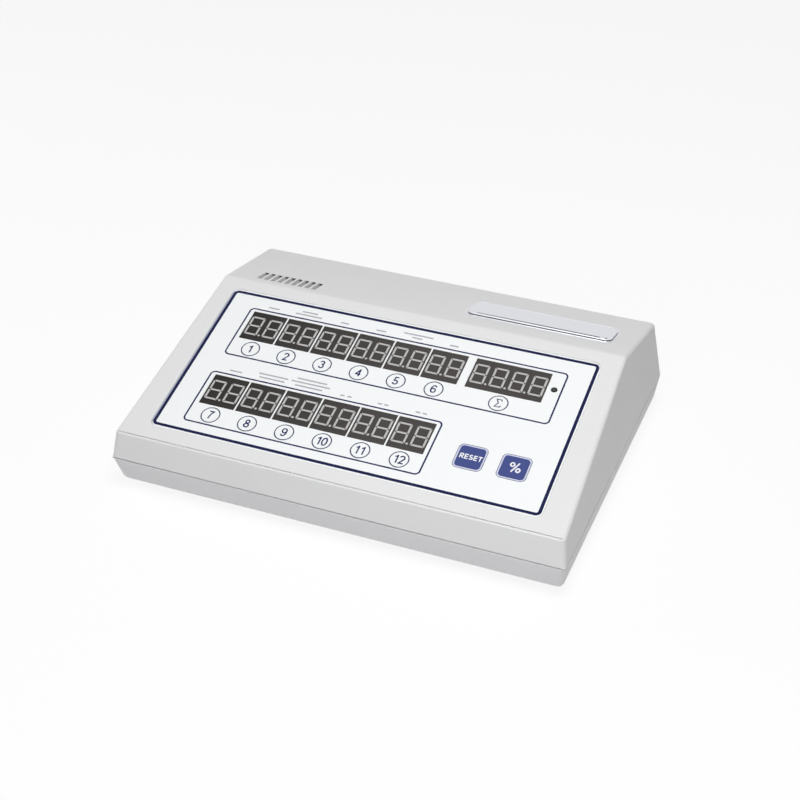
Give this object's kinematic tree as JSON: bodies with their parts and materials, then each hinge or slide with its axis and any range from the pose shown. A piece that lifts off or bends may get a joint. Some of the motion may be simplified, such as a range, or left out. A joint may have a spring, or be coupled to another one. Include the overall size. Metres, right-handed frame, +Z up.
{
  "type": "differential cell counter",
  "caption": "Sloping bench instrument in a two-part wedge case, with rows of digit displays, round numbered keys, two square keys, vents and a rear mains bay.",
  "frame": {"origin": "middle of the case's plan, on the level that the four rubber feet stand on", "axes": "+X along the case's width, to the right as the user sees it; +Y to the back; +Z up"},
  "size_m": [0.2968, 0.2228, 0.0796],
  "materials": {
    "upper_shell": "fine satin moulded plastic, light grey",
    "lower_shell": "fine satin moulded plastic, a shade darker than the upper shell",
    "panel_sheet": "smooth white polyester sheet with navy printed lines",
    "plate_metal": "satin silver plate with a bright bevelled edge, bare",
    "circuit_board": "green solder mask",
    "display_block": "dark grey display face with pale unlit segments",
    "indicator_lens": "dark unlit lens",
    "key_white": "smooth white cap with a navy number",
    "key_blue": "blue cap with a white legend",
    "black_plastic": "moulded black plastic",
    "screw_steel": "zinc plated steel",
    "chip_black": "moulded epoxy",
    "capacitor_sleeve": "shrunk plastic sleeve",
    "sink_aluminium": "extruded aluminium",
    "core_steel": "varnished laminated steel",
    "coil_copper": "amber tape over a copper winding",
    "rocker_black": "polished black plastic",
    "ribbon_grey": "flat grey ribbon cable",
    "wire_sleeve": "insulated wire",
    "foot_rubber": "moulded rubber"
  },
  "bodies": {
    "case": {"upper_housing": "upper_shell", "lower_housing": "lower_shell", "control_panel": "panel_sheet", "nameplate": "plate_metal", "display_board": "circuit_board", "dual_display_01": "display_block", "dual_display_02": "display_block", "dual_display_03": "display_block", "dual_display_04": "display_block", "dual_display_05": "display_block", "dual_display_06": "display_block", "dual_display_07": "display_block", "dual_display_08": "display_block", "dual_display_09": "display_block", "dual_display_10": "display_block", "dual_display_11": "display_block", "dual_display_12": "display_block", "total_display": "display_block", "indicator_light": "indicator_lens", "key_switches": "black_plastic", "display_board_screws": "screw_steel", "main_board": "circuit_board", "processor_chip": "chip_black", "driver_chips": "chip_black", "capacitors": "capacitor_sleeve", "buzzer": "black_plastic", "voltage_regulator": "chip_black", "heat_sink": "sink_aluminium", "transformer_core": "core_steel", "transformer_coil": "coil_copper", "transformer_screws": "screw_steel", "inlet_bay": "upper_shell", "mains_inlet": "black_plastic", "inlet_screws": "screw_steel", "switch_frame": "black_plastic", "ribbon_cable": "ribbon_grey", "main_board_screws": "screw_steel", "wire_harness": "wire_sleeve", "case_screws": "screw_steel", "rubber_foot_1": "foot_rubber", "rubber_foot_2": "foot_rubber", "rubber_foot_3": "foot_rubber", "rubber_foot_4": "foot_rubber"},
    "count_key_01": {"count_key_01": "key_white"},
    "count_key_02": {"count_key_02": "key_white"},
    "count_key_03": {"count_key_03": "key_white"},
    "count_key_04": {"count_key_04": "key_white"},
    "count_key_05": {"count_key_05": "key_white"},
    "count_key_06": {"count_key_06": "key_white"},
    "count_key_07": {"count_key_07": "key_white"},
    "count_key_08": {"count_key_08": "key_white"},
    "count_key_09": {"count_key_09": "key_white"},
    "count_key_10": {"count_key_10": "key_white"},
    "count_key_11": {"count_key_11": "key_white"},
    "count_key_12": {"count_key_12": "key_white"},
    "sum_key": {"sum_key": "key_white"},
    "reset_key": {"reset_key": "key_blue"},
    "percent_key": {"percent_key": "key_blue"},
    "switch_rocker": {"switch_rocker": "rocker_black"}
  },
  "joints": [
    {"name": "count_key_01_press", "type": "slide", "parent": "case", "child": "count_key_01", "axis": [0, 0.2639, -0.9646], "range_m": [0, 0.0005], "stiffness_N_per_m": 30, "springref_m": -0.004},
    {"name": "count_key_02_press", "type": "slide", "parent": "case", "child": "count_key_02", "axis": [0, 0.2639, -0.9646], "range_m": [0, 0.0005], "stiffness_N_per_m": 30, "springref_m": -0.004},
    {"name": "count_key_03_press", "type": "slide", "parent": "case", "child": "count_key_03", "axis": [0, 0.2639, -0.9646], "range_m": [0, 0.0005], "stiffness_N_per_m": 30, "springref_m": -0.004},
    {"name": "count_key_04_press", "type": "slide", "parent": "case", "child": "count_key_04", "axis": [0, 0.2639, -0.9646], "range_m": [0, 0.0005], "stiffness_N_per_m": 30, "springref_m": -0.004},
    {"name": "count_key_05_press", "type": "slide", "parent": "case", "child": "count_key_05", "axis": [0, 0.2639, -0.9646], "range_m": [0, 0.0005], "stiffness_N_per_m": 30, "springref_m": -0.004},
    {"name": "count_key_06_press", "type": "slide", "parent": "case", "child": "count_key_06", "axis": [0, 0.2639, -0.9646], "range_m": [0, 0.0005], "stiffness_N_per_m": 30, "springref_m": -0.004},
    {"name": "count_key_07_press", "type": "slide", "parent": "case", "child": "count_key_07", "axis": [0, 0.2639, -0.9646], "range_m": [0, 0.0005], "stiffness_N_per_m": 30, "springref_m": -0.004},
    {"name": "count_key_08_press", "type": "slide", "parent": "case", "child": "count_key_08", "axis": [0, 0.2639, -0.9646], "range_m": [0, 0.0005], "stiffness_N_per_m": 30, "springref_m": -0.004},
    {"name": "count_key_09_press", "type": "slide", "parent": "case", "child": "count_key_09", "axis": [0, 0.2639, -0.9646], "range_m": [0, 0.0005], "stiffness_N_per_m": 30, "springref_m": -0.004},
    {"name": "count_key_10_press", "type": "slide", "parent": "case", "child": "count_key_10", "axis": [0, 0.2639, -0.9646], "range_m": [0, 0.0005], "stiffness_N_per_m": 30, "springref_m": -0.004},
    {"name": "count_key_11_press", "type": "slide", "parent": "case", "child": "count_key_11", "axis": [0, 0.2639, -0.9646], "range_m": [0, 0.0005], "stiffness_N_per_m": 30, "springref_m": -0.004},
    {"name": "count_key_12_press", "type": "slide", "parent": "case", "child": "count_key_12", "axis": [0, 0.2639, -0.9646], "range_m": [0, 0.0005], "stiffness_N_per_m": 30, "springref_m": -0.004},
    {"name": "sum_key_press", "type": "slide", "parent": "case", "child": "sum_key", "axis": [0, 0.2639, -0.9646], "range_m": [0, 0.0005], "stiffness_N_per_m": 30, "springref_m": -0.004},
    {"name": "reset_key_press", "type": "slide", "parent": "case", "child": "reset_key", "axis": [0, 0.2639, -0.9646], "range_m": [0, 0.0005], "stiffness_N_per_m": 30, "springref_m": -0.004},
    {"name": "percent_key_press", "type": "slide", "parent": "case", "child": "percent_key", "axis": [0, 0.2639, -0.9646], "range_m": [0, 0.0005], "stiffness_N_per_m": 30, "springref_m": -0.004},
    {"name": "power_rocker_tilt", "type": "hinge", "parent": "case", "child": "switch_rocker", "pos_m": [0.0565, 0.0965, 0.0445], "axis": [1, 0, 0], "range_deg": [0, 24]}
  ]
}
